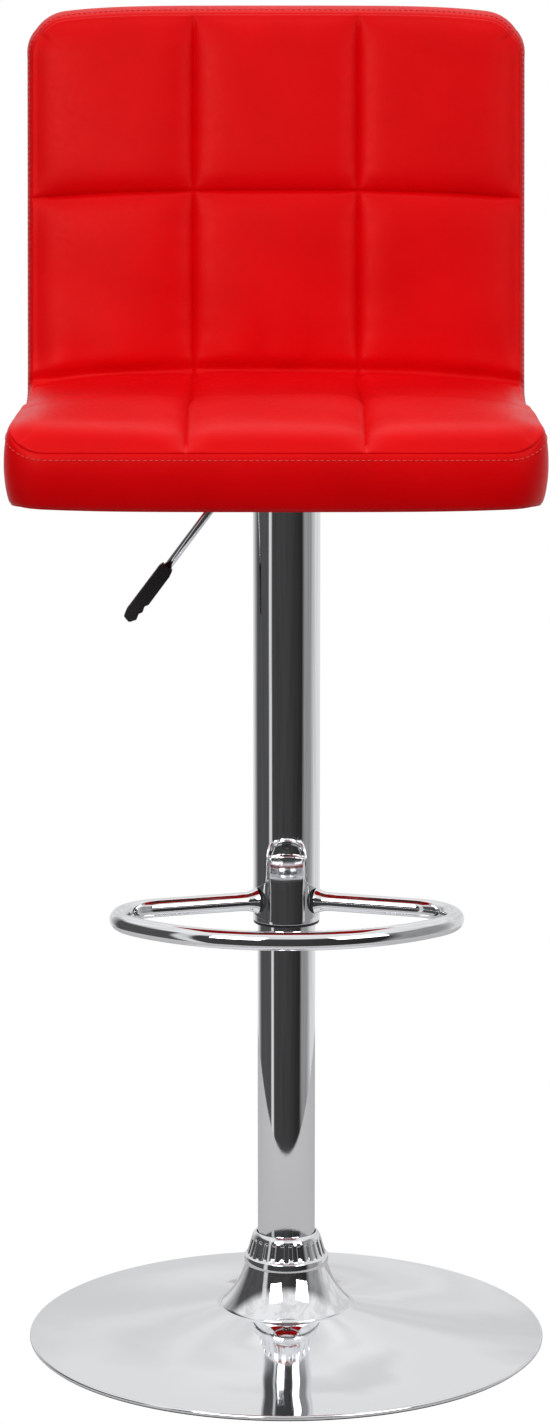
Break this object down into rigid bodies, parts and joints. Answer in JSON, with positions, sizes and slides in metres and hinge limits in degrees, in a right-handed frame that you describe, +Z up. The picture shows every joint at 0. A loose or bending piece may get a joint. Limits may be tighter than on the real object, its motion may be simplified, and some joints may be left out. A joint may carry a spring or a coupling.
{
  "type": "adjustable swivel stool",
  "caption": "Swivel bar stool with quilted red seat and back, chromed gas-lift column, loop footrest, height lever and round trumpet foot.",
  "frame": {"origin": "on the floor under the middle of the column", "axes": "+Z up, the sitter faces -Y, +X to the right as seen from the front"},
  "size_m": [0.4515, 0.451, 1.157],
  "materials": {
    "polished_chrome": "mirror-bright chrome plate",
    "black_rubber": "matt black",
    "painted_steel": "semi-matt black paint",
    "cast_ballast": "raw casting",
    "black_plastic": "matt black",
    "bearing_steel": "ground steel",
    "zinc_steel": "bright zinc plate",
    "dark_screw": "black oxide",
    "plywood": "raw plywood",
    "foam": "upholstery foam",
    "red_vinyl": "smooth red vinyl",
    "grip_plastic": "finely textured black"
  },
  "bodies": {
    "base": {"base_shell": "polished_chrome", "floor_ring": "black_rubber", "closing_plate": "painted_steel", "ballast_ring": "cast_ballast", "tube_socket": "painted_steel", "trim_ring": "polished_chrome", "standing_tube": "polished_chrome", "guide_bushing": "black_plastic", "lower_race": "bearing_steel"},
    "bearing_cage": {"ball_cage": "black_plastic", "bearing_balls": "bearing_steel"},
    "spindle": {"upper_race": "bearing_steel", "thrust_washer": "bearing_steel", "retaining_clip": "bearing_steel", "spindle_rod": "bearing_steel", "rubber_bumper": "black_rubber", "piston": "bearing_steel"},
    "seat": {"gas_cylinder": "painted_steel", "rod_seal": "black_plastic", "cover_tube": "polished_chrome", "guide_ring": "black_plastic", "centring_collar": "black_plastic", "seat_hub": "painted_steel", "seat_plate": "painted_steel", "seat_bolts": "zinc_steel", "seat_washers": "zinc_steel", "tee_nuts": "zinc_steel", "pivot_pin": "zinc_steel", "footrest_loop": "polished_chrome", "footrest_bracket": "polished_chrome", "bracket_screw": "dark_screw", "seat_board": "plywood", "seat_foam": "foam", "front_cover": "red_vinyl", "rear_cover": "red_vinyl", "edge_band": "red_vinyl"},
    "lever": {"lever_rod": "polished_chrome", "lever_grip": "grip_plastic"},
    "valve": {"valve_pin": "bearing_steel"}
  },
  "joints": [
    {"name": "seat_swivel", "type": "hinge", "parent": "base", "child": "spindle", "pos_m": [0, 0, 0.02], "axis": [0, 0, 1], "continuous": true},
    {"name": "cage_turn", "type": "hinge", "parent": "base", "child": "bearing_cage", "pos_m": [0, 0, 0.018], "axis": [0, 0, 1], "continuous": true},
    {"name": "seat_height", "type": "slide", "parent": "spindle", "child": "seat", "axis": [0, 0, 1], "range_m": [-0.21, 0]},
    {"name": "lever_lift", "type": "hinge", "parent": "seat", "child": "lever", "pos_m": [-0.028, 0, 0.75], "axis": [0, 1, 0], "range_deg": [0, 6], "stiffness_Nm_per_rad": 2, "springref_deg": -5.73},
    {"name": "valve_travel", "type": "slide", "parent": "seat", "child": "valve", "axis": [0, 0, -1], "range_m": [0, 0.0032]}
  ],
  "couplings": [
    {"joint": "cage_turn", "follows": "seat_swivel", "ratio": 0.5},
    {"joint": "valve_travel", "follows": "lever_lift", "m_per_rad": 0.029}
  ]
}
